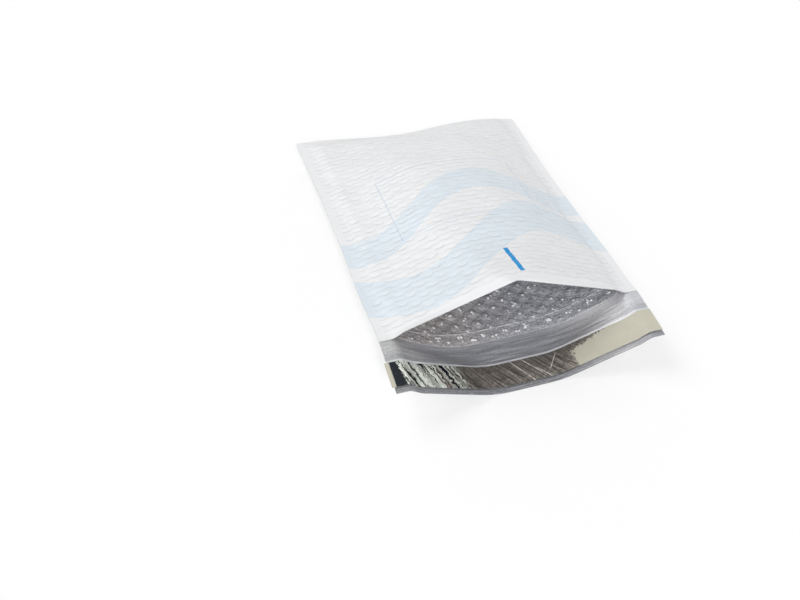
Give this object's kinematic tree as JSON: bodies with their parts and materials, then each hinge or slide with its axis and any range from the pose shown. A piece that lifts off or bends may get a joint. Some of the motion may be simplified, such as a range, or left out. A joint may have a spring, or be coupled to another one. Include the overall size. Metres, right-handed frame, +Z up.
{
  "type": "padded envelope",
  "caption": "Flat padded mailing bag of white film lined with grey air-cushion film, mouth open, with a folding flap carrying a covered self-adhesive strip.",
  "frame": {"origin": "centre of the bounding box, on the plane that the bag lies on", "axes": "+Z up, +Y from the mouth to the closed end, +X across the bag to the right seen from the mouth"},
  "size_m": [0.24, 0.3506, 0.0746],
  "materials": {
    "outer_film": "satin co-extruded film, white outside and silver grey inside, with pale blue print",
    "bubble_lining": "clear glossy air-cushion film over the grey inner face",
    "adhesive_strip": "pressure-sensitive adhesive under its liner",
    "release_liner": "crinkled metallised release film, partly matt beige"
  },
  "bodies": {
    "root": {"outer_film": "outer_film", "bubble_lining": "bubble_lining", "adhesive_strip": "adhesive_strip", "release_liner": "release_liner"}
  },
  "joints": []
}
